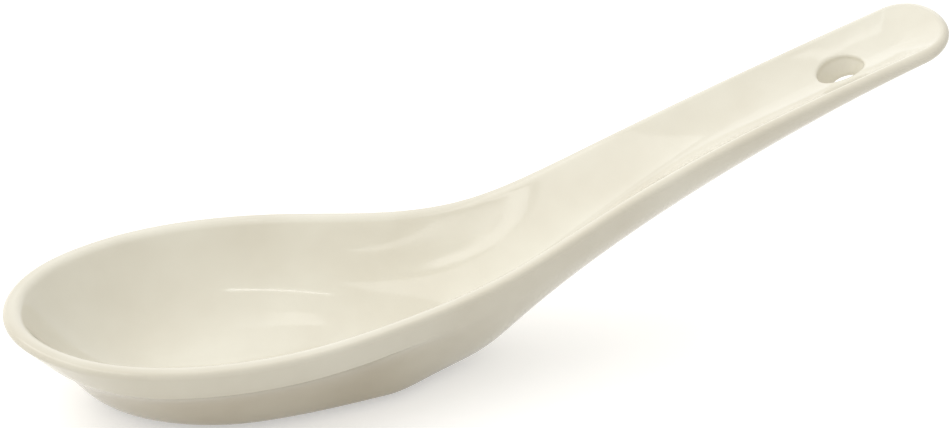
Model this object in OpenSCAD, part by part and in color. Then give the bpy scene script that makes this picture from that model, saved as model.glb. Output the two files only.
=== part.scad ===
// One-piece glazed ceramic soup spoon with a deep bowl and a rising trough handle.
// Millimetres, +Z up. The tip of the bowl points to -X, the handle rises to +X.

/* [Overall] */
// Length from the tip of the bowl to the end of the handle
spoon_length = 140; // [110:0.5:170]
// Height of the handle end above the table
spoon_height = 49.3; // [42:0.1:58]
// Thickness of the glaze coat
glaze_thickness = 0.3; // [0.15:0.05:0.6]

/* [Bowl] */
// Greatest width over the rim
bowl_width = 44.9; // [38:0.1:52]
// Height of the rim above the table beside the bowl
rim_height = 15.7; // [12:0.1:19]
// Extra height of the rim at the very tip
tip_lift = 0.25; // [0:0.05:2]
// Thickness of the floor over the foot
floor_thickness = 2.4; // [1.8:0.1:4]
// Thickness of the rounded lip of the bowl
lip_thickness = 3; // [2:0.1:4]
// Angle of the inside wall under the lip, from level
inner_wall_angle = 58; // [48:1:68]
// Lean of the outside wall at the tip above the belt, from upright
tip_lean = 40; // [25:1:44]
// Lean of the outside wall beside the bowl above the belt, from upright
side_lean = 21; // [15:1:32]
// Lean of the outside wall below the belt, from upright
belly_lean = 48; // [38:1:54]

/* [Belt] */
// Drop from the rim to the step that runs round the outside
belt_drop = 4.9; // [4:0.1:6.2]
// Depth of that step
belt_step = 0.35; // [0.1:0.05:0.6]

/* [Handle] */
// Width over the rim of the straight part
handle_width = 17.8; // [14:0.1:21]
// Thickness of the rounded lip of the handle
handle_lip = 2; // [1.6:0.1:2.4]
// Depth of the trough below the handle rim
trough_depth = 1.9; // [1.3:0.1:2.2]
// Angle of the inside of the trough under its lip, from level
trough_wall_angle = 28; // [21:1:33]
// Lean of the side of the handle, from upright
handle_lean = 24; // [18:1:34]
// Lean of the underside of the handle where it leaves the side, from upright
handle_belly_lean = 60; // [52:1:64]
// Depth from rim to underside at the end of the handle
end_depth = 3.1; // [2.7:0.1:3.8]
// Length of the rounded corner part at the handle end
end_round = 5.5; // [3:0.1:8]

/* [Hanging hole] */
// Diameter of the hole
hole_diameter = 7; // [4:0.1:9]
// Distance from the end of the handle to the hole axis
hole_inset = 15.3; // [12:0.1:20]

/* [Foot] */
// Height of the bare foot below the bowl
foot_height = 1.2; // [0.8:0.1:2]

/* [Shares of the plan outline] */
// Place of the widest point along the length
widest_share = 0.22; // [0.18:0.001:0.26]
// Fullness of the tip
tip_full_share = 0.547; // [0.4:0.001:0.7]
// Fullness of the side in front of the widest point
side_full_share = 0.585; // [0.4:0.001:0.7]
// How long the bowl keeps its width behind the widest point
hold_share = 0.26; // [0.15:0.01:0.35]
// How long the neck is before the handle is straight
neck_share = 0.705; // [0.55:0.005:0.75]
// Place along the length where the handle is straight
straight_share = 0.875; // [0.82:0.001:0.9]
// Fullness of the rounded handle end
end_full_share = 0.57; // [0.45:0.01:0.7]

/* [Shares of the side profile] */
// Place along the length where the rim is lowest
low_share = 0.102; // [0.05:0.001:0.16]
// How far the rim stays low
stay_low_share = 0.626; // [0.55:0.001:0.7]
// How far the straight climb reaches back from the handle end
climb_share = 0.686; // [0.6:0.001:0.75]
// Slope of the rim at the handle end
end_slope_share = 0.36; // [0.28:0.001:0.42]
// Place where the floor starts to climb
floor_start_share = 0.329; // [0.28:0.001:0.4]
// Place where the floor has become the trough
floor_end_share = 0.857; // [0.75:0.001:0.86]
// Place of the heel where the underside leaves the level
heel_share = 0.441; // [0.42:0.001:0.47]
// Roundness of the heel
heel_round_share = 0.115; // [0.08:0.001:0.14]
// How far the straight underside reaches back from the handle end
under_climb_share = 0.565; // [0.5:0.001:0.6]
// Slope of that straight underside
under_slope_share = 0.503; // [0.47:0.001:0.52]

/* [Shares of the sections] */
// Roundness of the outer corner of the lip, of half its thickness
lip_round_share = 0.45; // [0.35:0.01:0.9]
// Half width of the flat bottom at the tip, of the section there
tip_flat_share = 0.407; // [0.3:0.001:0.46]
// Half width of the flat bottom beside the bowl, of the section there
side_flat_share = 0.603; // [0.5:0.001:0.64]
// Half width of the flat left under the handle, of the section there
handle_flat_share = 0.178; // [0.1:0.001:0.25]
// Length over which the flat bottom widens behind the tip
flat_front_share = 0.246; // [0.18:0.001:0.3]
// Place where the flat bottom starts to narrow
flat_start_share = 0.381; // [0.34:0.001:0.4]
// Place where the flat bottom has narrowed to the handle
flat_end_share = 0.502; // [0.47:0.001:0.54]
// Length of the rounded front that blends the tip section into the side
front_share = 0.157; // [0.1:0.001:0.2]
// Place along the length where the front sections meet the middle line
front_fan_share = 0.157; // [0.12:0.001:0.18]
// Distance from the handle end where the end sections meet the middle line
end_fan_share = 0.0536; // [0.04:0.001:0.06]
// Straightness of the outside below the belt
below_belt_share = 0.42; // [0.3:0.001:0.5]
// Roundness of the turn into the flat bottom
turn_share = 0.36; // [0.25:0.001:0.5]
// Straightness of the underside of the handle beside its edge
handle_below_share = 0.24; // [0.2:0.001:0.4]
// Roundness of the underside of the handle
handle_turn_share = 0.48; // [0.4:0.001:0.6]
// Greatest drop of the belt, of the depth of the section
belt_limit_share = 0.45; // [0.35:0.01:0.5]
// Rise of the belt step, of the drop of the belt
belt_run_share = 0.04; // [0.03:0.001:0.1]
// Place where the belt starts to fade
belt_start_share = 0.343; // [0.28:0.001:0.4]
// Place where the belt has faded away
belt_end_share = 0.514; // [0.45:0.001:0.6]
// Half width of the bare patch, of the flat bottom
bare_share = 0.9; // [0.8:0.01:0.95]
// Place where the bare patch starts to narrow
bare_start_share = 0.36; // [0.3:0.001:0.42]
// Half width of the foot, of the bare patch
foot_share = 0.94; // [0.8:0.01:0.97]
// Place along the length where bowl and handle are divided
divide_share = 0.52; // [0.51:0.005:0.56]

/* [Hidden] */
tip_steps = 10;
neck_steps = 26;
straight_steps = 3;
end_steps = 7;
curve_steps = 40;
inner_steps = 8;
lip_steps = 3;
under_steps = 5;
least_power = 1.3;
straight_handle_share = 0.4;
rim_hold_share = 0.4;
least_straight_share = 0.25;
least_band_share = 0.25;
least_run_share = 0.25;
least_round_share = 1.25;
probe_share = 0.005;
bowl_half = bowl_width / 2;
handle_half = handle_width / 2;
widest_x = spoon_length * widest_share;
straight_x = spoon_length * straight_share;
end_x = max(spoon_length - end_round, straight_x + end_round * least_straight_share);
neck_length = straight_x - widest_x;
straight_length = end_x - straight_x;
low_x = spoon_length * low_share;
climb_length = spoon_length - low_x;
heel_x = spoon_length * heel_share;
front_x = spoon_length * front_share;
flat_front_x = spoon_length * flat_front_share;
front_fan = spoon_length * front_fan_share;
end_fan = spoon_length * end_fan_share;
floor_height = foot_height + floor_thickness;
bowl_depth = rim_height - floor_height;
end_under = spoon_height - end_depth;
hole_x = spoon_length - hole_inset;
probe = spoon_length * probe_share;

function cubic(a, b, c, d, t) =
    a * pow(1 - t, 3) + 3 * b * t * pow(1 - t, 2) + 3 * c * t * t * (1 - t) + d * pow(t, 3);
function mix(a, b, t) = a + (b - a) * t;
function clamp01(t) = min(max(t, 0), 1);
function smooth01(t) = t * t * (3 - 2 * t);
function ease(x, a, b) = smooth01(clamp01((x - a) / (b - a)));
function run(p, steps, first) = [for (i = [first:steps]) cubic(p[0], p[1], p[2], p[3], i / steps)];

// Half of the plan outline, from the tip round to the middle of the handle end
tip_curve = [
    [0, 0],
    [0, bowl_half * tip_full_share],
    [widest_x * (1 - side_full_share), bowl_half],
    [widest_x, bowl_half]
];
neck_curve = [
    [widest_x, bowl_half],
    [widest_x + neck_length * hold_share, bowl_half],
    [straight_x - neck_length * neck_share, handle_half],
    [straight_x, handle_half]
];
straight_curve = [
    [straight_x, handle_half],
    [straight_x + straight_length * straight_handle_share, handle_half],
    [end_x - straight_length * straight_handle_share, handle_half],
    [end_x, handle_half]
];
end_curve = [
    [end_x, handle_half],
    [mix(end_x, spoon_length, end_full_share), handle_half],
    [spoon_length, handle_half * end_full_share],
    [spoon_length, 0]
];
outline = concat(
    run(tip_curve, tip_steps, 0),
    run(neck_curve, neck_steps, 1),
    run(straight_curve, straight_steps, 1),
    run(end_curve, end_steps, 1)
);
last_rib = len(outline) - 1;

// Height of the rim and of the underside along the length
rim_curve = concat(
    run([
        [0, rim_height + tip_lift],
        [low_x * rim_hold_share, rim_height + tip_lift],
        [low_x * (1 - rim_hold_share), rim_height],
        [low_x, rim_height]
    ], curve_steps, 0),
    run([
        [low_x, rim_height],
        [low_x + climb_length * stay_low_share, rim_height],
        [spoon_length - climb_length * climb_share,
            spoon_height - climb_length * climb_share * end_slope_share],
        [spoon_length, spoon_height]
    ], curve_steps, 1)
);
under_curve = concat(
    [[0, foot_height]],
    run([
        [heel_x, foot_height],
        [heel_x + spoon_length * heel_round_share, foot_height],
        [spoon_length * (1 - under_climb_share),
            end_under - spoon_length * under_climb_share * under_slope_share],
        [spoon_length, end_under]
    ], curve_steps, 0)
);
function rim_z(x) = lookup(x, rim_curve);
function under_z(x) = lookup(x, under_curve);
function handleness(x) = ease(x, spoon_length * floor_start_share, spoon_length * floor_end_share);
function floor_z(x) = rim_z(x) - mix(bowl_depth, trough_depth, handleness(x));
function floor_slope(x) = (floor_z(x + probe) - floor_z(x - probe)) / (2 * probe);
function under_slope(x) = (under_z(x + probe) - under_z(x - probe)) / (2 * probe);

// Foot of each section on the middle line: fanned at both ends, square to the line between
function pull(x, fan) = x < 2 * fan ? fan * pow(1 - x / (2 * fan), 2) : 0;
function spine_x(x) = x + pull(x, front_fan) - pull(spoon_length - x, end_fan);
spine = [for (p = outline) spine_x(p[0])];
reach = [for (i = [0:last_rib]) norm([outline[i][0] - spine[i], outline[i][1]])];
aim = [for (i = [0:last_rib]) [outline[i][0] - spine[i], outline[i][1]] / reach[i]];
cut_rib = [for (i = [0:last_rib]) if (spine[i] >= spoon_length * divide_share) i][0];

// Half width of the flat bottom and of the bare patch inside it
function flat_half(i) = reach[i] * mix(
    mix(tip_flat_share, side_flat_share, ease(outline[i][0], 0, flat_front_x)),
    handle_flat_share,
    ease(spine[i], spoon_length * flat_start_share, spoon_length * flat_end_share)
);
function bare_round(x) = clamp01(
    (x - spoon_length * bare_start_share) / (heel_x - spoon_length * bare_start_share)
);
function bare_half(i) = flat_half(i) * bare_share * sqrt(1 - pow(bare_round(spine[i]), 2));
function closed(i) = spine[i] >= heel_x;

// One section as [distance from the middle line, height], from the floor over the lip to the underside.
// It starts and ends along the slope of the middle line, so that the fanned ends run on smoothly.
function inner_part(size, bottom, lift, top, power) =
    [for (j = [0:inner_steps]) let (t = j / inner_steps)
        [size * t, bottom + lift * size * t + (top - bottom - lift * size) * pow(t, power)]];
function corner_part(middle, height, radius, from, to) =
    [for (j = [1:lip_steps]) let (a = mix(from, to, j / lip_steps))
        [middle + radius * cos(a), height - radius + radius * sin(a)]];
function lip_part(size, height, radius, round, wall, lean) = concat(
    corner_part(size - radius, height, radius, 90 + wall, 90),
    [[size - round, height]],
    corner_part(size - round, height, round, 90, -lean)
);
function under_part(start, lean, kind, half, turn, under, lift, bare) =
    let (straight = mix(below_belt_share, handle_below_share, kind))
    concat(
        run([
            start,
            start - straight * (start[1] - under - lift * start[0]) * [tan(lean), 1],
            [turn, under + lift * turn],
            [half, under + lift * half]
        ], under_steps, 0),
        [[bare, under + lift * bare]]
    );
function rib(i) =
    let (
        x = outline[i][0],
        kind = handleness(spine[i]),
        size = reach[i],
        height = rim_z(x),
        bottom = floor_z(spine[i]),
        under = under_z(spine[i]),
        lift = aim[i][0] * floor_slope(spine[i]),
        under_lift = aim[i][0] * under_slope(spine[i]),
        radius = mix(lip_thickness, handle_lip, kind) / 2,
        wall = mix(inner_wall_angle, trough_wall_angle, kind),
        lean = mix(mix(tip_lean, side_lean, ease(x, 0, front_x)), handle_lean, kind),
        round = max(radius * lip_round_share, glaze_thickness * least_round_share),
        inner_size = size - radius - radius * sin(wall),
        inner_top = height - radius + radius * cos(wall),
        power = max((tan(wall) - lift) * inner_size / (inner_top - bottom - lift * inner_size), least_power),
        lip_end = [size - round + round * cos(lean), height - round - round * sin(lean)],
        belt_limit = belt_limit_share * (height - under - under_lift * size),
        belt_z = min(height - min(belt_drop, belt_limit), lip_end[1] - belt_step * least_band_share),
        belt_t = lip_end[0] - (lip_end[1] - belt_z) * tan(lean),
        fade = 1 - ease(spine[i], spoon_length * belt_start_share, spoon_length * belt_end_share),
        below = [belt_t - belt_step * fade, belt_z - belt_drop * belt_run_share * max(fade, least_run_share)],
        turn = mix(flat_half(i), below[0], mix(turn_share, handle_turn_share, kind)),
        chord = atan2(below[0] - turn, below[1] - under - under_lift * turn),
        full_lean = mix(belly_lean, handle_belly_lean, kind),
        low_lean = mix(min(full_lean, chord), full_lean, fade)
    )
    concat(
        inner_part(inner_size, bottom, lift, inner_top, power),
        lip_part(size, height, radius, round, wall, lean),
        [[belt_t, belt_z]],
        under_part(below, low_lean, kind, flat_half(i), turn, under, under_lift, closed(i) ? 0 : bare_half(i))
    );
skins = [for (i = [0:last_rib]) rib(i)];
last_ring = len(skins[0]) - 1;

// The same sections one glaze thickness inside
function inward(s, j) =
    j == 0 ? [0, -1] :
    j == last_ring ? [0, 1] :
    let (d = s[j + 1] - s[j - 1]) [d[1], -d[0]] / norm(d);
bodies = [for (s = skins) [for (j = [0:last_ring]) s[j] + glaze_thickness * inward(s, j)]];

// Sections in walking order round the bowl and round the handle; 1 is the +Y side
bowl_walk = concat(
    [for (i = [cut_rib:-1:0]) [i, 1]],
    [for (i = [1:cut_rib]) [i, -1]]
);
handle_walk = concat(
    [for (i = [cut_rib:last_rib]) [i, -1]],
    [for (i = [last_rib - 1:-1:cut_rib]) [i, 1]]
);
function place(w, p) = [
    spine[w[0]] + aim[w[0]][0] * p[0] - spoon_length / 2,
    w[1] * aim[w[0]][1] * p[0],
    p[1]
];
function points_of(walk, sections) = [for (w = walk) for (p = sections[w[0]]) place(w, p)];

// Index of ring j of walk place k; both sides share the points on the middle line
function shared(walk, k, j) = j == 0 || (j == last_ring && closed(walk[k][0]));
function at(walk, k, j) =
    (shared(walk, k, j) ? min(k, len(walk) - 1 - k) : k) * (last_ring + 1) + j;
function quad(a, b, c, d) = concat(
    a == b || b == c || a == c ? [] : [[a, b, c]],
    a == c || c == d || a == d ? [] : [[a, c, d]]
);
function flipped(faces) = [for (f = faces) [f[2], f[1], f[0]]];
function shifted(faces, n) = [for (f = faces) [f[0] + n, f[1] + n, f[2] + n]];
function skin_faces(walk) = [
    for (k = [0:len(walk) - 2]) for (j = [0:last_ring - 1])
        each quad(at(walk, k, j), at(walk, k + 1, j), at(walk, k + 1, j + 1), at(walk, k, j + 1))
];
function cut_faces(walk) =
    let (z = len(walk) - 1, r = last_ring)
    [for (j = [0:floor(r / 2) - 1]) each concat(
        quad(at(walk, 0, j), at(walk, 0, j + 1), at(walk, 0, r - j - 1), at(walk, 0, r - j)),
        quad(at(walk, z, j + 1), at(walk, z, j), at(walk, z, r - j), at(walk, z, r - j - 1))
    )];
function bare_faces(walk) =
    let (z = len(walk) - 1, r = last_ring)
    [for (k = [0:z / 2 - 1]) if (!closed(walk[k + 1][0]))
        each quad(at(walk, k, r), at(walk, k + 1, r), at(walk, z - k - 1, r), at(walk, z - k, r))
    ];
function body_faces(walk) = concat(skin_faces(walk), cut_faces(walk), bare_faces(walk));
function rim_strip(a, b, n) = quad(a, b, b + n, a + n);
function coat_faces(walk) =
    let (n = len(walk) * (last_ring + 1), z = len(walk) - 1, r = last_ring)
    concat(
        skin_faces(walk),
        shifted(flipped(skin_faces(walk)), n),
        [for (j = [0:r - 1]) each concat(
            rim_strip(at(walk, 0, j), at(walk, 0, j + 1), n),
            rim_strip(at(walk, z, j + 1), at(walk, z, j), n)
        )],
        [for (k = [0:z - 1]) if (!closed(walk[k][0]) || !closed(walk[k + 1][0]))
            each rim_strip(at(walk, k, r), at(walk, k + 1, r), n)
        ]
    );

module body(walk) {
    polyhedron(points = points_of(walk, bodies), faces = body_faces(walk));
}

module coat(walk) {
    polyhedron(
        points = concat(points_of(walk, skins), points_of(walk, bodies)),
        faces = coat_faces(walk)
    );
}

module hanging_hole() {
    rise = floor_z(hole_x + hole_diameter / 2) - floor_z(hole_x - hole_diameter / 2);
    translate([hole_x - spoon_length / 2, 0, floor_z(hole_x)])
        rotate([0, -atan2(rise, hole_diameter), 0])
            cylinder(h = spoon_height, r = hole_diameter / 2, center = true, $fn = 64);
}

module bowl() {
    color("#d9cfba")
        body(bowl_walk);
}

module handle() {
    color("#d9cfba")
        difference() {
            body(handle_walk);
            hanging_hole();
        }
}

module foot() {
    half = [for (i = [0:last_rib]) if (!closed(i)) let (size = bare_half(i) * foot_share)
        [spine[i] + aim[i][0] * size - spoon_length / 2, aim[i][1] * size]];
    color("#cbbf9f")
        linear_extrude(height = foot_height + glaze_thickness)
            polygon(concat(half, [for (i = [len(half) - 1:-1:1]) [half[i][0], -half[i][1]]]));
}

module glaze_bowl() {
    color("#efe9d8")
        coat(bowl_walk);
}

module glaze_handle() {
    color("#efe9d8")
        difference() {
            coat(handle_walk);
            hanging_hole();
        }
}

bowl();
handle();
foot();
glaze_bowl();
glaze_handle();
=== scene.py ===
"""Looks of a one-piece ivory glazed soup spoon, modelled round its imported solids.

The form is written in millimetres and becomes metres when a mesh is made. The tip of the bowl
points to -X, the handle rises to +X, +Z is up and the foot stands on Z = 0.
"""

import logging
import math
from dataclasses import dataclass, field
from enum import Enum
from functools import cached_property

import bpy
import numpy as np
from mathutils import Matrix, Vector


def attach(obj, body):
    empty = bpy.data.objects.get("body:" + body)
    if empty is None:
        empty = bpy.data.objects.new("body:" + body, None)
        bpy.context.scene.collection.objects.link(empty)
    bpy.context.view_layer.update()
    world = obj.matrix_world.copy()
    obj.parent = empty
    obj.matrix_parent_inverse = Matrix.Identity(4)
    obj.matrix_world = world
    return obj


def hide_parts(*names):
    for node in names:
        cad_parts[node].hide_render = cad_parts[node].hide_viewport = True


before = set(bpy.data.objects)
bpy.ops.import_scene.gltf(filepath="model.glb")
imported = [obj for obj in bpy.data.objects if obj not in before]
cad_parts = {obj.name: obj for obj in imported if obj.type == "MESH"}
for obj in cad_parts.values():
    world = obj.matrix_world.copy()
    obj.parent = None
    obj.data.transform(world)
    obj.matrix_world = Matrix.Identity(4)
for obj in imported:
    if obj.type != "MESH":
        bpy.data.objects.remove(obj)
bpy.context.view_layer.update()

Array = np.ndarray
Socket = bpy.types.NodeSocket
MM = 0.001
DEPTH_AND_SHADE_NAME = "glaze_depth_and_shade"
log = logging.getLogger("spoon")

# How finely lines are drawn and roots are sought.
LINE_STEPS = 3000
POWER_ROUNDS = 16
ROOT_ROUNDS = 30
ROOT_STEP = 1e-4

# Shares, and small lengths in millimetres, that keep every section whole.
LEAST_STEEPNESS = 1.05
STEP_FULLNESS = 0.6
STRAIGHT_SHARE = 0.4
RIM_HOLD_SHARE = 0.4
LEAST_BAND = 0.09
LEAST_RUN = 0.25
SOFT_SHARE = 0.9
FAN_POINT = 0.05
PROBE = 0.7
WELD = 1e-4
FOOT_SEAT = 0.02

# Where the level top of the lip starts and stops, as shares of the way over the lip.
LIP_TOP = (0.3, 0.45)

# Turns a point into its mirror image across the middle plane.
MIRROR = np.array([1.0, -1.0, 1.0])

# Usual glaze depth, on a scale from 0, thinnest, to 1, where on a section it runs thin, and where
# the belly is painted darker towards the foot as shade.
FULL_GLAZE = 0.6
BELT_EDGE_PLACE = 3.6
BELT_EDGE_REACH = 0.5
# Span of the section over which shade is painted, darker towards the foot.
FOOT_SHADE_SPAN = (3.5, 4.3)
LIP_DRAINED = (1.2, 1.6, 2.0)

# The sRGB curve: straight up to its knee, and a shifted power beyond it.
SRGB_KNEE = 0.04045
SRGB_SLOPE = 12.92
SRGB_SHIFT = 0.055
SRGB_POWER = 2.4

# Numbers of a Mix node's colour sockets, because its other kinds have sockets of the same names.
MIX_SHARE, MIX_FIRST, MIX_SECOND, MIX_COLOUR = 0, 6, 7, 2


class Underside(Enum):
    """Where a section stops under the spoon."""

    BARE_EDGE = "edge of the unglazed patch"
    MIDDLE = "middle line"


def mix(a: Array | float, b: Array | float, share: Array | float) -> Array:
    """The value that lies this share of the way from a to b."""
    return a + (b - a) * share


def ease(x: Array, start: float, stop: float) -> Array:
    """A smooth step 3t^2 - 2t^3 that is 0 before start and 1 after stop."""
    t = np.clip((x - start) / (stop - start), 0.0, 1.0)
    return t * t * (3.0 - 2.0 * t)


def pair(a: Array | float, b: Array | float) -> Array:
    """Two coordinates side by side on a new last axis."""
    return np.stack(np.broadcast_arrays(a, b), axis=-1).astype(float)


def cubic(a: Array, b: Array, c: Array, d: Array, t: Array) -> Array:
    """Points of a cubic curve, with weights (1-t)^3, 3t(1-t)^2, 3t^2(1-t) and t^3 on its controls.

    Args:
        a: First control point, with its coordinates on the last axis.
        b: Second control point.
        c: Third control point.
        d: Last control point.
        t: Place along the curve, from 0 to 1.

    Returns:
        The points, with their coordinates on the last axis.
    """
    s = np.asarray(t, float)[..., None]
    r = 1.0 - s
    return r**3 * a + 3.0 * s * r**2 * b + 3.0 * s**2 * r * c + s**3 * d


def unit(vectors: Array) -> Array:
    """The vectors divided by their lengths."""
    return vectors / np.linalg.norm(vectors, axis=-1, keepdims=True)


def linked(name: str, data: bpy.types.ID) -> bpy.types.Object:
    """A new object at the origin, linked to the scene.

    Args:
        name: Name of the object.
        data: The mesh, lamp or camera that it holds.

    Returns:
        The object.
    """
    made = bpy.data.objects.new(name, data)
    bpy.context.scene.collection.objects.link(made)
    return made


@dataclass(frozen=True)
class Rib:
    """One cross section, with an array for each size so that many sections are worked out at once.

    A section is a curve of [distance from the middle line, height]. Its six parts follow one
    another without a corner: inside, lip, upper band, belt step, belly and sole.
    """

    spine: Array
    aim_x: Array
    aim_y: Array
    size: Array
    height: Array
    bottom: Array
    rise: Array
    under: Array
    under_rise: Array
    radius: Array
    corner: Array
    wall: Array
    lean: Array
    low_lean: Array
    belt: Array
    below: Array
    soft: Array
    run: Array
    flat: Array
    bare: Array
    straight_share: Array
    turn: Array
    dish_share: float

    def inside(self, s: Array) -> Array:
        """Floor and wall: a dish (s^2 + e^2)^(p/2) on the slope of the middle line.

        The power p is found by repeated scaling, so that the wall meets the lip at its own angle.

        Args:
            s: Share of the way from the middle line to the lip.

        Returns:
            Distance and height of each point.
        """
        width = self.size - self.radius * (1.0 + np.sin(self.wall))
        top = self.height - self.radius * (1.0 - np.cos(self.wall))
        depth = top - self.bottom - self.rise * width
        steepness = np.maximum((np.tan(self.wall) - self.rise) * width / depth, LEAST_STEEPNESS)
        e2 = self.dish_share**2
        power = steepness
        for _ in range(POWER_ROUNDS):
            full = (1.0 + e2) ** (power / 2.0) - e2 ** (power / 2.0)
            power = power * steepness * full / (power * (1.0 + e2) ** (power / 2.0 - 1.0))
        full = (1.0 + e2) ** (power / 2.0) - e2 ** (power / 2.0)
        dish = ((s * s + e2) ** (power / 2.0) - e2 ** (power / 2.0)) / full
        return pair(width * s, self.bottom + self.rise * width * s + depth * dish)

    def lip(self, s: Array) -> Array:
        """Lip: a wide arc from the angle of the inside wall, a level top and a tight outer arc.

        Each arc is its radius times the cosine and sine of an angle that runs evenly, and the outer
        arc stops at the lean of the outside.

        Args:
            s: Share of the way over the lip, from the inside out.

        Returns:
            Distance and height of each point.
        """
        start, stop = LIP_TOP
        first, last = np.clip(s / start, 0.0, 1.0), np.clip((s - stop) / (1.0 - stop), 0.0, 1.0)
        angle = math.pi / 2.0 + self.wall * (1.0 - first) - (math.pi / 2.0 + self.lean) * last
        radius = mix(self.radius, self.corner, np.clip((s - start) / (stop - start), 0.0, 1.0))
        return pair(
            self.size - radius + radius * np.cos(angle),
            self.height - radius + radius * np.sin(angle),
        )

    def band(self, s: Array) -> Array:
        """Straight upper band from the lip down to the belt."""
        return mix(self.lip(np.ones_like(s)), self.belt, s[..., None])

    def step(self, s: Array) -> Array:
        """Belt step: a cubic that leaves along the band, turns in and arrives along the belly.

        Args:
            s: Share of the way down the step.

        Returns:
            Distance and height of each point.
        """
        down_band = pair(np.sin(self.lean), np.cos(self.lean))
        down_belly = pair(np.sin(self.low_lean), np.cos(self.low_lean))
        hold = STEP_FULLNESS * (self.soft + self.run)[..., None]
        return cubic(
            self.belt,
            self.belt - hold * down_band,
            self.below + hold * down_belly,
            self.below,
            s,
        )

    def belly(self, s: Array) -> Array:
        """Belly: a cubic from below the belt, along its lean, that turns into the level sole."""
        reach = self.straight_share * (self.below[..., 1] - self.sole_z(self.below[..., 0]))
        return cubic(
            self.below,
            self.below - pair(reach * np.tan(self.low_lean), reach),
            pair(self.turn, self.sole_z(self.turn)),
            pair(self.flat, self.sole_z(self.flat)),
            s,
        )

    def sole(self, s: Array) -> Array:
        """Flat under the spoon, from the end of the belly to the bare edge."""
        across = mix(self.flat, self.bare, s)
        return pair(across, self.sole_z(across))

    def sole_z(self, across: Array) -> Array:
        """Height of the sole at this distance from the middle line."""
        return self.under + self.under_rise * across


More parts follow.
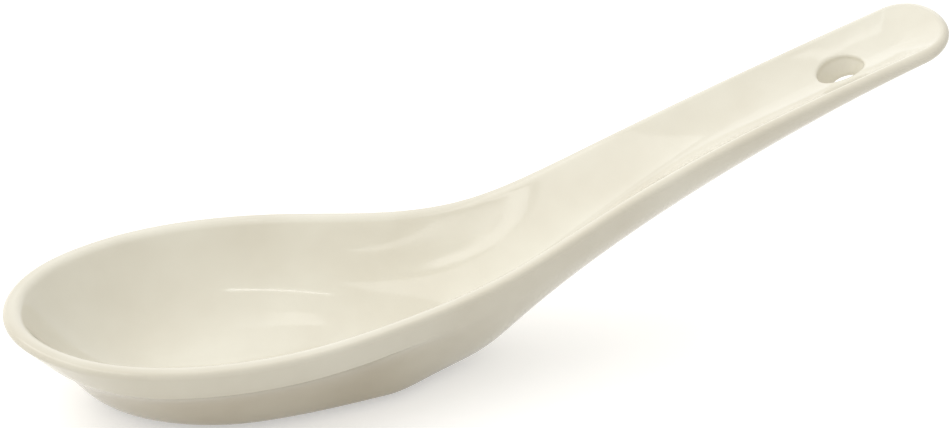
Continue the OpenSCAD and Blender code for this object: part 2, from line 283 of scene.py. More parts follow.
@dataclass(frozen=True)
class SpoonForm:
    """Shape of the spoon in millimetres, as sections that stand on its middle line.

    Places along the length count from the tip of the bowl. Leans and angles are in degrees. A field
    that ends in share is a share of the length, or of the size that its name gives.
    """

    length: float = 140.0
    height: float = 49.3
    glaze: float = 0.3
    bowl_width: float = 44.9
    rim_height: float = 15.7
    tip_lift: float = 0.25
    floor_thickness: float = 2.4
    lip_thickness: float = 3.0
    inner_wall_angle: float = 58.0
    tip_lean: float = 40.0
    side_lean: float = 21.0
    belly_lean: float = 48.0
    belt_drop: float = 4.9
    belt_step: float = 0.35
    edge_soft: float = 1.4
    handle_width: float = 17.8
    handle_lip: float = 2.0
    trough_depth: float = 1.9
    trough_wall_angle: float = 28.0
    handle_lean: float = 24.0
    handle_belly_lean: float = 60.0
    end_depth: float = 3.1
    end_round: float = 5.5
    hole_radius: float = 3.5
    hole_inset: float = 15.3
    foot_height: float = 1.2
    widest_share: float = 0.22
    tip_full_share: float = 0.547
    side_full_share: float = 0.585
    hold_share: float = 0.26
    neck_share: float = 0.705
    straight_share: float = 0.875
    end_full_share: float = 0.57
    low_share: float = 0.102
    stay_low_share: float = 0.626
    climb_share: float = 0.686
    end_slope: float = 0.36
    floor_start_share: float = 0.329
    floor_end_share: float = 0.857
    heel_share: float = 0.441
    heel_round_share: float = 0.115
    under_climb_share: float = 0.565
    under_slope: float = 0.503
    lip_round_share: float = 0.45
    handle_round_share: float = 0.9
    tip_flat_share: float = 0.407
    side_flat_share: float = 0.603
    handle_flat_share: float = 0.178
    flat_front_share: float = 0.246
    flat_start_share: float = 0.381
    flat_end_share: float = 0.502
    front_share: float = 0.157
    front_fan_share: float = 0.157
    end_fan_share: float = 0.0536
    below_belt_share: float = 0.42
    turn_share: float = 0.36
    handle_below_share: float = 0.24
    handle_turn_share: float = 0.48
    belt_limit_share: float = 0.45
    belt_run_share: float = 0.04
    belt_start_share: float = 0.343
    belt_end_share: float = 0.514
    bare_share: float = 0.9
    bare_start_share: float = 0.36
    foot_share: float = 0.94
    dish_share: float = 0.3

    @cached_property
    def outline_curves(self) -> Array:
        """Control points of the four cubics of half the plan outline: tip, neck, handle and end.

        Returns:
            Curves by control points by [distance from the tip, distance from the middle line].
        """
        bowl, handle = self.bowl_width / 2.0, self.handle_width / 2.0
        widest = self.length * self.widest_share
        straight = self.length * self.straight_share
        end = self.length - self.end_round
        neck = straight - widest
        return np.array([
            [
                (0.0, 0.0),
                (0.0, bowl * self.tip_full_share),
                (widest * (1.0 - self.side_full_share), bowl),
                (widest, bowl),
            ],
            [
                (widest, bowl),
                (widest + neck * self.hold_share, bowl),
                (straight - neck * self.neck_share, handle),
                (straight, handle),
            ],
            [
                (straight, handle),
                (mix(straight, end, STRAIGHT_SHARE), handle),
                (mix(end, straight, STRAIGHT_SHARE), handle),
                (end, handle),
            ],
            [
                (end, handle),
                (end + self.end_round * self.end_full_share, handle),
                (self.length, handle * self.end_full_share),
                (self.length, 0.0),
            ],
        ])

    def outline(self, u: Array) -> tuple[Array, Array]:
        """Place on half the plan outline.

        Args:
            u: From 0 at the tip to 4 at the handle end, one for each of the four curves.

        Returns:
            Distance from the tip along the length, and distance from the middle line.
        """
        piece = np.clip(np.floor(u), 0, len(self.outline_curves) - 1).astype(int)
        a, b, c, d = np.moveaxis(self.outline_curves[piece], -2, 0)
        points = cubic(a, b, c, d, u - piece)
        return points[..., 0], np.maximum(points[..., 1], 0.0)

    @cached_property
    def rim_line(self) -> Array:
        """Side view of the rim: a low run beside the bowl, then a climb, each a cubic.

        Returns:
            Rows of [distance from the tip, height].
        """
        low = self.length * self.low_share
        climb = self.length - low
        tip = self.rim_height + self.tip_lift
        back = climb * self.climb_share
        t = np.linspace(0.0, 1.0, LINE_STEPS)
        front = cubic(
            pair(0.0, tip),
            pair(low * RIM_HOLD_SHARE, tip),
            pair(low * (1.0 - RIM_HOLD_SHARE), self.rim_height),
            pair(low, self.rim_height),
            t[:-1],
        )
        rear = cubic(
            pair(low, self.rim_height),
            pair(low + climb * self.stay_low_share, self.rim_height),
            pair(self.length - back, self.height - back * self.end_slope),
            pair(self.length, self.height),
            t,
        )
        return np.concatenate([front, rear])

    @cached_property
    def under_line(self) -> Array:
        """Side view of the underside: level under the bowl, then a cubic that climbs from the heel.

        Returns:
            Rows of [distance from the tip, height].
        """
        heel = self.length * self.heel_share
        back = self.length * self.under_climb_share
        end = self.height - self.end_depth
        climb = cubic(
            pair(heel, self.foot_height),
            pair(heel + self.length * self.heel_round_share, self.foot_height),
            pair(self.length - back, end - back * self.under_slope),
            pair(self.length, end),
            np.linspace(0.0, 1.0, LINE_STEPS),
        )
        return np.concatenate([pair(0.0, self.foot_height)[None], climb])

    def rim_z(self, x: Array) -> Array:
        """Height of the rim at x."""
        return np.interp(x, *self.rim_line.T)

    def under_z(self, x: Array) -> Array:
        """Height of the underside at x."""
        return np.interp(x, *self.under_line.T)

    def handleness(self, x: Array) -> Array:
        """0 in the bowl and 1 in the handle."""
        return ease(x, self.length * self.floor_start_share, self.length * self.floor_end_share)

    def floor_z(self, x: Array) -> Array:
        """Height of the floor on the middle line at x: the rim less the depth of bowl or trough."""
        bowl_depth = self.rim_height - self.foot_height - self.floor_thickness
        return self.rim_z(x) - mix(bowl_depth, self.trough_depth, self.handleness(x))

    def spine_x(self, x: Array) -> Array:
        """Foot on the middle line of the section that meets the rim at x: fanned at both ends.

        The foot is pulled in by f (1 - d / 2f)^2, where d is the distance to the end of the spoon
        and f the length of its fan. Feet that nearly meet are put on one point.

        Args:
            x: Where the section meets the rim, from the tip.

        Returns:
            Where the section stands on the middle line, from the tip.
        """
        front, end = self.length * self.front_fan_share, self.length * self.end_fan_share
        pulled = front * np.maximum(1.0 - x / (2.0 * front), 0.0) ** 2
        pushed = end * np.maximum(1.0 - (self.length - x) / (2.0 * end), 0.0) ** 2
        foot = x + pulled - pushed
        foot = np.where(np.abs(foot - front) < FAN_POINT, front, foot)
        return np.where(np.abs(foot - (self.length - end)) < FAN_POINT, self.length - end, foot)

    def rib(self, u: Array, underside: Underside) -> Rib:
        """The sections at u.

        Args:
            u: Place on the outline, from 0 to 4.
            underside: Where the sections stop under the spoon.

        Returns:
            The sections' sizes, each an array of the shape of u.
        """
        x, y = self.outline(u)
        spine = self.spine_x(x)
        size = np.hypot(x - spine, y)
        aim_x, aim_y = (x - spine) / size, y / size
        kind = self.handleness(spine)
        front = ease(x, 0.0, self.length * self.front_share)
        height, under = self.rim_z(x), self.under_z(spine)
        floor_climb = self.floor_z(spine + PROBE) - self.floor_z(spine - PROBE)
        under_climb = self.under_z(spine + PROBE) - self.under_z(spine - PROBE)
        rise, under_rise = (aim_x * climb / (2.0 * PROBE) for climb in (floor_climb, under_climb))
        radius = mix(self.lip_thickness, self.handle_lip, kind) / 2.0
        lean = np.radians(mix(mix(self.tip_lean, self.side_lean, front), self.handle_lean, kind))
        corner = radius * mix(self.lip_round_share, self.handle_round_share, kind)
        lip_t = size - corner + corner * np.cos(lean)
        lip_z = height - corner - corner * np.sin(lean)
        limit = self.belt_limit_share * (height - under - under_rise * size)
        belt_z = np.minimum(height - np.minimum(self.belt_drop, limit), lip_z - LEAST_BAND)
        belt_t = lip_t - (lip_z - belt_z) * np.tan(lean)
        fade = self.belt_fade(spine)
        run = self.belt_drop * self.belt_run_share * np.maximum(fade, LEAST_RUN)
        soft = np.minimum(self.edge_soft * (1.0 - fade), SOFT_SHARE * (lip_z - belt_z))
        narrow = ease(spine, self.length * self.flat_start_share, self.length * self.flat_end_share)
        widen = ease(x, 0.0, self.length * self.flat_front_share)
        bowl_flat = mix(self.tip_flat_share, self.side_flat_share, widen)
        flat = size * mix(bowl_flat, self.handle_flat_share, narrow)
        stops_short = underside is Underside.BARE_EDGE
        bare = self.bare_half(spine, flat) if stops_short else np.zeros_like(flat)
        below_t, below_z = belt_t - self.belt_step * fade, belt_z - run
        turn = mix(flat, below_t, mix(self.turn_share, self.handle_turn_share, kind))
        chord = np.arctan2(below_t - turn, below_z - under - under_rise * turn)
        full_lean = np.radians(mix(self.belly_lean, self.handle_belly_lean, kind))
        low_lean = mix(np.minimum(full_lean, chord), full_lean, fade)
        return Rib(
            spine=spine,
            aim_x=aim_x,
            aim_y=aim_y,
            size=size,
            height=height,
            bottom=self.floor_z(spine),
            rise=rise,
            under=under,
            under_rise=under_rise,
            radius=radius,
            corner=corner,
            wall=np.radians(mix(self.inner_wall_angle, self.trough_wall_angle, kind)),
            lean=lean,
            low_lean=low_lean,
            belt=pair(belt_t + soft * np.sin(lean), belt_z + soft * np.cos(lean)),
            below=pair(below_t - soft * np.sin(low_lean), below_z - soft * np.cos(low_lean)),
            soft=soft,
            run=run,
            flat=flat,
            bare=bare,
            straight_share=mix(self.below_belt_share, self.handle_below_share, kind),
            turn=turn,
            dish_share=self.dish_share,
        )

    def belt_fade(self, spine: Array) -> Array:
        """How strong the belt is: 1 round the bowl and 0 behind the neck."""
        start, end = self.length * self.belt_start_share, self.length * self.belt_end_share
        return 1.0 - ease(spine, start, end)

    def bare_half(self, spine: Array, flat: Array) -> Array:
        """Half width of the unglazed patch: a share of the flat, closed as a quarter ellipse.

        Args:
            spine: Where each section stands on the middle line, from the tip.
            flat: Half width of the flat under each section.

        Returns:
            Half width of the patch at each section.
        """
        start, heel = self.length * self.bare_start_share, self.length * self.heel_share
        way = np.clip((spine - start) / (heel - start), 0.0, 1.0)
        return flat * self.bare_share * np.sqrt(1.0 - way**2)

    def skin(self, u: Array, w: Array, underside: Underside) -> Array:
        """Points of the +Y half of the spoon's outer skin.

        Args:
            u: Place on the outline, from 0 at the tip to 4 at the handle end.
            w: Place on the section, from 0 on the middle line to 6 under the spoon, one a part.
            underside: Where the sections stop under the spoon.

        Returns:
            Points in millimetres, coordinates on the last axis.
        """
        rib = self.rib(u, underside)
        parts = (rib.inside, rib.lip, rib.band, rib.step, rib.belly, rib.sole)
        which = np.clip(np.floor(w), 0, len(parts) - 1)[..., None]
        flat = np.select(
            [which == k for k in range(len(parts))],
            [part(np.clip(w - k, 0.0, 1.0)) for k, part in enumerate(parts)],
        )
        return self.place(rib.spine, rib.aim_x, rib.aim_y, flat)

    def place(self, spine: Array, aim_x: Array, aim_y: Array, flat: Array) -> Array:
        """Section points [distance, height] carried to the spoon along each section's aim."""
        across, z = flat[..., 0], flat[..., 1]
        return np.stack([spine + aim_x * across - self.length / 2.0, aim_y * across, z], axis=-1)

    def even_ribs(self, spacing: float) -> Array:
        """Places on the outline that are evenly spaced along it.

        Args:
            spacing: Millimetres from one place to the next.

        Returns:
            The places, from 0 at the tip to 4 at the handle end.
        """
        u = np.linspace(0.0, float(len(self.outline_curves)), LINE_STEPS)
        x, y = self.outline(u)
        run = np.concatenate([[0.0], np.cumsum(np.hypot(np.diff(x), np.diff(y)))])
        return np.interp(np.linspace(0.0, run[-1], round(run[-1] / spacing) + 1), run, u)


@dataclass(frozen=True)
class Sheet:
    """A triangle mesh in millimetres, with how thick the glaze lies at each of its points and the
    shade painted towards the foot.
    """

    points: Array
    triangles: Array
    depth: Array

    @staticmethod
    def grid(points: Array, depth: Array, keep: Array | None = None) -> "Sheet":
        """A grid of points as two triangles for each cell.

        Args:
            points: Rows by columns by coordinates.
            depth: Glaze depth, with the painted shade towards the foot, at each point.
            keep: Which cells to fill, or None for all.

        Returns:
            The mesh, whose faces look to the side where rows and columns turn anticlockwise.
        """
        rows, columns = points.shape[:2]
        ids = np.arange(rows * columns).reshape(rows, columns)
        cells = np.stack([ids[:-1, :-1], ids[1:, :-1], ids[1:, 1:], ids[:-1, 1:]], axis=-1)
        chosen = cells.reshape(-1, 4) if keep is None else cells[keep]
        triangles = np.concatenate([chosen[:, [0, 1, 2]], chosen[:, [0, 2, 3]]])
        return Sheet(points.reshape(-1, 3), triangles, depth.reshape(-1))

    @staticmethod
    def joined(*sheets: "Sheet") -> "Sheet":
        """Several meshes as one, with points that round to one weld step made one point.

        Args:
            sheets: The meshes.

        Returns:
            The mesh, without unused points or triangles that the weld has closed.
        """
        starts = np.cumsum([0] + [len(s.points) for s in sheets[:-1]])
        points = np.concatenate([s.points for s in sheets])
        triangles = np.concatenate([s.triangles + n for s, n in zip(sheets, starts)])
        depth = np.concatenate([s.depth for s in sheets])
        used = np.unique(triangles)
        place = np.round(points[used] / WELD).astype(np.int64)
        _, first, group = np.unique(place, axis=0, return_index=True, return_inverse=True)
        renumber = np.zeros(len(points), int)
        renumber[used] = group.reshape(-1)
        triangles = renumber[triangles]
        a, b, c = triangles.T
        whole = (a != b) & (b != c) & (c != a)
        return Sheet(points[used][first], triangles[whole], depth[used][first])

    def with_mirror(self) -> "Sheet":
        """The mesh and its mirror image across the middle plane, welded along it."""
        mirror = Sheet(self.points * MIRROR, self.triangles[:, ::-1], self.depth)
        return Sheet.joined(self, mirror)

    def normals(self) -> Array:
        """Point normals: the face normals round each point, summed by area.

        Returns:
            A unit vector for each point.
        """
        a, b, c = np.moveaxis(self.points[self.triangles], 1, 0)
        face = np.cross(b - a, c - a)
        total = np.zeros_like(self.points)
        np.add.at(total, self.triangles.reshape(-1), np.repeat(face, 3, axis=0))
        return unit(total)

    def inset(self, distance: float) -> "Sheet":
        """The mesh moved inwards along its point normals."""
        return Sheet(self.points - distance * self.normals(), self.triangles, self.depth)

    def thickened(self, distance: float) -> "Sheet":
        """A closed shell: the mesh, its inset turned over, and a strip along each open edge.

        Args:
            distance: Thickness of the shell, inwards.

        Returns:
            The shell.
        """
        inner = self.inset(distance)
        count = len(self.points)
        edges = self.triangles[:, [[0, 1], [1, 2], [2, 0]]].reshape(-1, 2)
        key = edges[:, 0] * count + edges[:, 1]
        open_edges = edges[~np.isin(key, edges[:, 1] * count + edges[:, 0])]
        a, b = open_edges.T
        strip = np.concatenate([
            np.stack([b, a, a + count], -1),
            np.stack([b, a + count, b + count], -1),
        ])
        return Sheet(
            np.concatenate([self.points, inner.points]),
            np.concatenate([self.triangles, self.triangles[:, ::-1] + count, strip]),
            np.concatenate([self.depth, inner.depth]),
        )

    def piece(self, name: str, material: bpy.types.Material) -> bpy.types.Object:
        """A smooth-shaded object in metres, at the origin.

        Args:
            name: Name of the piece.
            material: Its finish.

        Returns:
            The new object, linked to the scene.
        """
        mesh = bpy.data.meshes.new(name)
        mesh.from_pydata((self.points * MM).tolist(), [], self.triangles.tolist())
        mesh.polygons.foreach_set("use_smooth", np.ones(len(mesh.polygons), bool))
        lying = mesh.attributes.new(DEPTH_AND_SHADE_NAME, "FLOAT", "POINT")
        lying.data.foreach_set("value", self.depth.astype(np.float32))
        mesh.materials.append(material)
        mesh.update()
        log.info("%s: %d points, %d triangles", name, len(self.points), len(self.triangles))
        return linked(name, mesh)


@dataclass(frozen=True)
class SkinGrid:
    """How finely the skin is sampled: millimetres between sections, and points on each part."""

    spacing: float = 0.75
    inside: int = 30
    lip: int = 20
    band: int = 4
    step: int = 8
    belly: int = 24
    sole: int = 4

    def rings(self) -> Array:
        """Places on a section, evenly spread over each of its parts.

        Returns:
            The places, from 0 on the middle line to 6 under the spoon.
        """
        counts = (self.inside, self.lip, self.band, self.step, self.belly, self.sole)
        spread = [k + np.arange(n) / n for k, n in enumerate(counts)]
        return np.concatenate(spread + [[float(len(counts))]])


@dataclass(frozen=True)
class HangingHole:
    """Hole through the handle near its end, with lengths in millimetres.

    It is softly rounded above, and narrower below as glaze gathers there.
    """

    form: SpoonForm
    upper_rounding: float = 0.6
    lower_rounding: float = 0.25
    narrowing: float = 1.2
    room: float = 1.2
    rings: int = 26
    patch_steps: int = 4
    round_steps: int = 6
    wall_steps: int = 6
    evenness: float = 0.5
    thinning: float = 0.08

    @property
    def centre(self) -> Array:
        """Point of the axis on the floor of the trough."""
        x = self.form.length - self.form.hole_inset
        return np.array([x - self.form.length / 2.0, 0.0, float(self.form.floor_z(x))])

    @property
    def axis(self) -> Array:
        """Direction of the hole, square to the floor of the trough.

        Returns:
            A unit vector that points up.
        """
        x, r = self.form.length - self.form.hole_inset, self.form.hole_radius
        tilt = math.atan2(float(self.form.floor_z(x + r) - self.form.floor_z(x - r)), 2.0 * r)
        return np.array([-math.sin(tilt), 0.0, math.cos(tilt)])

    def block(self, ribs: Array) -> tuple[int, int]:
        """First and last section of the patch that the hole takes out of the skin.

        Args:
            ribs: Places of the sections on the outline.

        Returns:
            Numbers of the first and the last section.
        """
        x, _ = self.form.outline(ribs)
        centre = self.form.length - self.form.hole_inset
        reach = self.form.hole_radius + self.upper_rounding + self.room
        first = int(np.searchsorted(x, centre - reach)) - 1
        last = int(np.searchsorted(self.form.spine_x(x), centre + reach))
        return first, last

    def across(self, points: Array) -> Array:
        """Coordinates of points in the plane square to the hole: along the handle and across it."""
        along = np.array([self.axis[2], 0.0, -self.axis[0]])
        return pair((points - self.centre) @ along, points[..., 1])

    def find(self, goal: Array, u: Array, w: Array, underside: Underside) -> tuple[Array, Array]:
        """Places on a patch of skin that the hole's own direction carries onto points of its plane.

        It steps along straight slopes in two unknowns, again and again, from the nearest point of
        the patch, and keeps within the patch. The slopes come from small steps.

        Args:
            goal: Points in the plane of the hole, coordinates on the last axis.
            u: Outline places of the patch, as a grid whose first column is on the middle line.
            w: Section places of the patch, as the same grid.
            underside: Where the sections stop under the spoon.

        Returns:
            Outline and section place of each goal.
        """
        known = self.across(self.form.skin(u, w, underside)).reshape(-1, 2)
        near = np.argmin(((goal[:, None] - known[None]) ** 2).sum(-1), axis=1)
        a, b = u.reshape(-1)[near], w.reshape(-1)[near]
        outwards = ROOT_STEP * np.sign(w[0, -1] - w[0, 0])
        for _ in range(ROOT_ROUNDS):
            here = self.across(self.form.skin(a, b, underside))
            by_a = (self.across(self.form.skin(a + ROOT_STEP, b, underside)) - here) / ROOT_STEP
            by_b = (self.across(self.form.skin(a, b + outwards, underside)) - here) / outwards
            miss = goal - here
            scale = by_a[:, 0] * by_b[:, 1] - by_a[:, 1] * by_b[:, 0]
            a = a + (miss[:, 0] * by_b[:, 1] - miss[:, 1] * by_b[:, 0]) / scale
            b = b + (by_a[:, 0] * miss[:, 1] - by_a[:, 1] * miss[:, 0]) / scale
            a, b = np.clip(a, u.min(), u.max()), np.clip(b, w.min(), w.max())
        return a, b

    @staticmethod
    def edge(patch: Array) -> Array:
        """Values along the edge of a patch, from the middle line out, along the handle and back."""
        return np.concatenate([patch[0], patch[1:, -1], patch[-1, -2::-1]])

    def mouth(
        self,
        u: Array,
        w: Array,
        circle: Array,
        into_bore: Array,
        rounding: float,
        underside: Underside,
    ) -> Array:
        """Half of one mouth: skin from the patch's edge to a circle, then a rounding into the bore.

        The rounding is a quadratic curve whose middle point is where the skin would meet the bore.

        Args:
            u: Outline places of the patch, as a grid whose first column is on the middle line.
            w: Section places of the patch, as the same grid.
            circle: Where each column meets the bore, in the plane of the hole.
            into_bore: Direction from the skin into the bore.
            rounding: How far the rounding reaches along the skin and into the bore.
            underside: Where the sections stop under the spoon.

        Returns:
            Rows from the edge of the patch to the bore, each with one point for each angle.
        """
        wide_u, wide_w = self.find(circle + rounding * unit(circle), u, w, underside)
        tight = self.find(circle, u, w, underside)
        share = np.linspace(0.0, 1.0, self.patch_steps + 1)[:, None]
        patch_u = mix(self.edge(u), wide_u, share)
        patch_w = mix(self.edge(w), wide_w, share)
        patch = self.form.skin(patch_u, patch_w, underside)
        corner = self.form.skin(*tight, underside)
        t = np.linspace(0.0, 1.0, self.round_steps + 1)[1:, None, None]
        inside = corner + rounding * into_bore
        rounded = (1.0 - t) ** 2 * patch[-1] + 2.0 * t * (1.0 - t) * corner + t**2 * inside
        return np.concatenate([patch, rounded])

    def tube(self, u: Array, w: Array, underside: Underside) -> Sheet:
        """Half of the hole: upper mouth, bore and lower mouth as one grid of rows.

        Args:
            u: Outline places of the sections that the hole takes out, as a grid of sections.
            w: Section places, as the same grid.
            underside: Where the sections stop under the spoon.

        Returns:
            The mesh, whose first and last rows lie on the edges of the two patches.
        """
        # The first rings of each section, and its last ones counted back from under the spoon.
        top = np.s_[:, : self.rings + 1]
        low = np.s_[:, : -self.rings - 2 : -1]
        seen = self.across(self.edge(self.form.skin(u[top], w[top], underside)))
        even = np.linspace(math.pi, 0.0, len(seen))
        turn = mix(np.arctan2(seen[:, 1], seen[:, 0]), even, self.evenness)
        circle = self.form.hole_radius * pair(np.cos(turn), np.sin(turn))
        upper = self.mouth(u[top], w[top], circle, -self.axis, self.upper_rounding, underside)
        circle = circle - self.narrowing * unit(circle)
        lower = self.mouth(u[low], w[low], circle, self.axis, self.lower_rounding, underside)
        share = np.linspace(0.0, 1.0, self.wall_steps + 1)[1:-1, None, None]
        rows = np.concatenate([upper, mix(upper[-1], lower[-1], share), lower[::-1]])
        order = np.arange(len(rows)) / (len(rows) - 1.0)
        depth = FULL_GLAZE - self.thinning * np.sin(math.pi * order) ** 2
        return Sheet.grid(rows, np.repeat(depth[:, None], rows.shape[1], axis=1))


@dataclass(frozen=True)
class SpoonSkin:
    """The whole outer skin: two mirrored halves of the form with the hanging hole let in."""

    form: SpoonForm
    hole: HangingHole
    grid: SkinGrid = SkinGrid()
    edge_thinning: float = 0.3
    foot_painted_shade: float = 0.48
    # How much darker the belly is painted towards the foot, as shade.
    lip_thinning: float = 0.2

    def glaze_depth_and_shade(self, u: Array, w: Array) -> Array:
        """How thick the glaze lies, full but thin on the lip and at the belt, and lowered towards
        the foot as painted shade.

        The belt's share is a bell curve over the place on the section, as strong as the belt is.

        Args:
            u: Place on the outline, from 0 to 4.
            w: Place on the section, from 0 to 6.

        Returns:
            Depth at each place, from 0 to 1.
        """
        spine = self.form.spine_x(self.form.outline(u)[0])
        fade = self.form.belt_fade(spine)
        thin = self.edge_thinning * np.exp(-(((w - BELT_EDGE_PLACE) / BELT_EDGE_REACH) ** 2))
        # Painted shade: down the belly the colour is pulled towards the thin, darker colour near
        # the foot.
        painted_shade = self.foot_painted_shade * ease(w, *FOOT_SHADE_SPAN)
        drained = self.lip_thinning * (ease(w, *LIP_DRAINED[:2]) - ease(w, *LIP_DRAINED[1:]))
        return FULL_GLAZE - drained - fade * (thin + painted_shade)

    def sheet(self, underside: Underside) -> Sheet:
        """The skin as one mesh.

        Args:
            underside: Where the sections stop under the spoon.

        Returns:
            The mesh, open only where the sections stop short of the middle line.
        """
        ribs = self.form.even_ribs(self.grid.spacing)
        u, w = np.meshgrid(ribs, self.grid.rings(), indexing="ij")
        first, last = self.hole.block(ribs)
        keep = np.ones((u.shape[0] - 1, u.shape[1] - 1), bool)
        keep[first:last, : self.hole.rings] = False
        keep[first:last, -self.hole.rings :] = False
        half = Sheet.grid(self.form.skin(u, w, underside), self.glaze_depth_and_shade(u, w), keep)
        hole = self.hole.tube(u[first : last + 1], w[first : last + 1], underside)
        return Sheet.joined(half, hole).with_mirror()


def linear(hex_colour: str) -> tuple[float, float, float, float]:
    """An sRGB hex colour as the linear colour that a shader takes.

    Args:
        hex_colour: A hash sign and two hex digits each for red, green and blue.

    Returns:
        Linear red, green and blue, and a full alpha.
    """
    parts = np.array([int(hex_colour[k : k + 2], 16) / 255.0 for k in (1, 3, 5)])
    curved = ((parts + SRGB_SHIFT) / (1.0 + SRGB_SHIFT)) ** SRGB_POWER
    light = np.where(parts <= SRGB_KNEE, parts / SRGB_SLOPE, curved)
    return (*light.tolist(), 1.0)


def cleared(owner: bpy.types.Material | bpy.types.World) -> bpy.types.NodeTree:
    """The emptied node tree of a new material or world.

    Args:
        owner: The material or world.

    Returns:
        Its node tree, without nodes.
    """
    owner.use_nodes = True
    owner.node_tree.nodes.clear()
    return owner.node_tree


def add(
    tree: bpy.types.NodeTree,
    kind: str,
    settings: dict[str, object] | None = None,
    sockets: dict[str | int, object] | None = None,
) -> bpy.types.Node:
    """Add one shader node with its settings, values and links.

    Args:
        tree: Node tree of a material or of the world.
        kind: Blender's name of the node without its start, ShaderNode.
        settings: Value of each of the node's own settings.
        sockets: For each input, by name or number, a value to hold or an output to link to.

    Returns:
        The node.
    """
    made = tree.nodes.new("ShaderNode" + kind)
    for name, value in (settings or {}).items():
        setattr(made, name, value)
    for name, value in (sockets or {}).items():
        if isinstance(value, Socket):
            tree.links.new(value, made.inputs[name])
        else:
            made.inputs[name].default_value = value
    return made


def per_metre(size_mm: float) -> float:
    """Texture scale that repeats a pattern about once in this many millimetres."""
    return 1.0 / (size_mm * MM)


@dataclass(frozen=True)
class IvoryGlaze:
    """Glossy ivory glaze, dipped and fired.

    It gives the eye a warm even cream with mirror-like but slightly wavy highlights, a little
    darker and warmer where the coat runs thin on the lip and along the belt, and darker towards the
    foot, where shade is painted into the colour.
    """

    name: str = "ivory_glaze_dipped_and_fired"
    thin_and_shaded_colour: str = "#CCC3AE"
    full_colour: str = "#F0EDDE"
    roughness: float = 0.08
    roughness_change: float = 0.05
    ior: float = 1.52
    cloud_mm: float = 16.0
    cloud_detail: float = 3.0
    cloud_share: float = 0.35
    peel_mm: float = 2.2
    peel_detail: float = 1.0
    peel_depth_mm: float = 0.004

    def material(self) -> bpy.types.Material:
        """The glaze as a shader: depth with painted shade towards the foot, and faint clouds, set
        its colour; a fine ripple sets its bump.

        Returns:
            The new material.
        """
        made = bpy.data.materials.new(self.name)
        tree = cleared(made)
        place = add(tree, "TexCoord").outputs["Object"]
        cloud = add(tree, "TexNoise", None, {
            "Vector": place, "Scale": per_metre(self.cloud_mm), "Detail": self.cloud_detail,
        })
        # The attribute holds the glaze depth together with the shade painted towards the foot.
        lying = add(tree, "Attribute", {"attribute_name": DEPTH_AND_SHADE_NAME})
        drift = add(tree, "MapRange", None, {
            "Value": cloud.outputs[0], "To Min": -self.cloud_share, "To Max": self.cloud_share,
        })
        depth = add(tree, "Math", {"operation": "ADD", "use_clamp": True}, {
            0: lying.outputs["Fac"], 1: drift.outputs[0],
        })
        # The thin colour is also the painted shade that the lower belly reaches near the foot.
        colour = add(tree, "Mix", {"data_type": "RGBA"}, {
            MIX_SHARE: depth.outputs[0],
            MIX_FIRST: linear(self.thin_and_shaded_colour),
            MIX_SECOND: linear(self.full_colour),
        })
        peel = add(tree, "TexNoise", None, {
            "Vector": place, "Scale": per_metre(self.peel_mm), "Detail": self.peel_detail,
        })
        bump = add(tree, "Bump", None, {
            "Height": peel.outputs[0], "Distance": self.peel_depth_mm * MM,
        })
        gloss = add(tree, "MapRange", None, {
            "Value": cloud.outputs[0],
            "To Min": self.roughness - self.roughness_change,
            "To Max": self.roughness + self.roughness_change,
        })
        shader = add(tree, "BsdfPrincipled", None, {
            "Base Color": colour.outputs[MIX_COLOUR],
            "Roughness": gloss.outputs[0],
            "IOR": self.ior,
            "Normal": bump.outputs[0],
        })
        add(tree, "OutputMaterial", None, {"Surface": shader.outputs[0]})
        return made


@dataclass(frozen=True)
class FiredClay:
    """Unglazed fired clay, as cast or ground flat.

    It gives the eye a dry matt cream with fine sandy grain and sparse darker grits. Real grain and
    grits are too fine to show, so both are drawn coarser than they are.
    """

    name: str
    colour: str
    grit_colour: str
    roughness: float = 0.85
    grain_mm: float = 0.6
    grain_detail: float = 4.0
    grain_depth_mm: float = 0.03
    grain_strength: float = 0.3
    grit_mm: float = 2.4
    grit_share: float = 0.1
    grit_strength: float = 0.7

    def material(self) -> bpy.types.Material:
        """The clay as a shader: grain in its bump and colour, grits as small cell centres.

        Returns:
            The new material.
        """
        made = bpy.data.materials.new(self.name)
        tree = cleared(made)
        place = add(tree, "TexCoord").outputs["Object"]
        grain = add(tree, "TexNoise", None, {
            "Vector": place, "Scale": per_metre(self.grain_mm), "Detail": self.grain_detail,
        })
        grit = add(tree, "TexVoronoi", None, {"Vector": place, "Scale": per_metre(self.grit_mm)})
        spot = add(tree, "MapRange", None, {
            "Value": grit.outputs["Distance"],
            "From Min": self.grit_share / 2.0,
            "From Max": self.grit_share,
            "To Min": self.grit_strength,
            "To Max": 0.0,
        })
        tone = add(tree, "MapRange", None, {
            "Value": grain.outputs[0], "To Min": 0.0, "To Max": self.grain_strength,
        })
        dirt = add(tree, "Math", {"operation": "MAXIMUM"}, {0: spot.outputs[0], 1: tone.outputs[0]})
        colour = add(tree, "Mix", {"data_type": "RGBA"}, {
            MIX_SHARE: dirt.outputs[0],
            MIX_FIRST: linear(self.colour),
            MIX_SECOND: linear(self.grit_colour),
        })
        bump = add(tree, "Bump", None, {
            "Height": grain.outputs[0], "Distance": self.grain_depth_mm * MM,
        })
        shader = add(tree, "BsdfPrincipled", None, {
            "Base Color": colour.outputs[MIX_COLOUR],
            "Roughness": self.roughness,
            "Normal": bump.outputs[0],
        })
        add(tree, "OutputMaterial", None, {"Surface": shader.outputs[0]})
        return made


@dataclass
class GlazeCoat:
    """The glaze: a closed coat over the whole spoon but for the bare patch under the bowl."""

    skin: SpoonSkin
    finish: IvoryGlaze = field(default_factory=IvoryGlaze)

    def build(self) -> bpy.types.Object:
        """Make the coat and put it in place of the two glaze solids."""
        coat = self.skin.sheet(Underside.BARE_EDGE).thickened(self.skin.form.glaze)
        return self.dress(coat.piece("glaze_coat", self.finish.material()))

    def dress(self, piece: bpy.types.Object) -> bpy.types.Object:
        """Hang the piece from the root and hide the solids that it takes the place of.

        Args:
            piece: The piece.

        Returns:
            The same piece.
        """
        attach(piece, "root")
        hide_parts("glaze_bowl", "glaze_handle")
        return piece


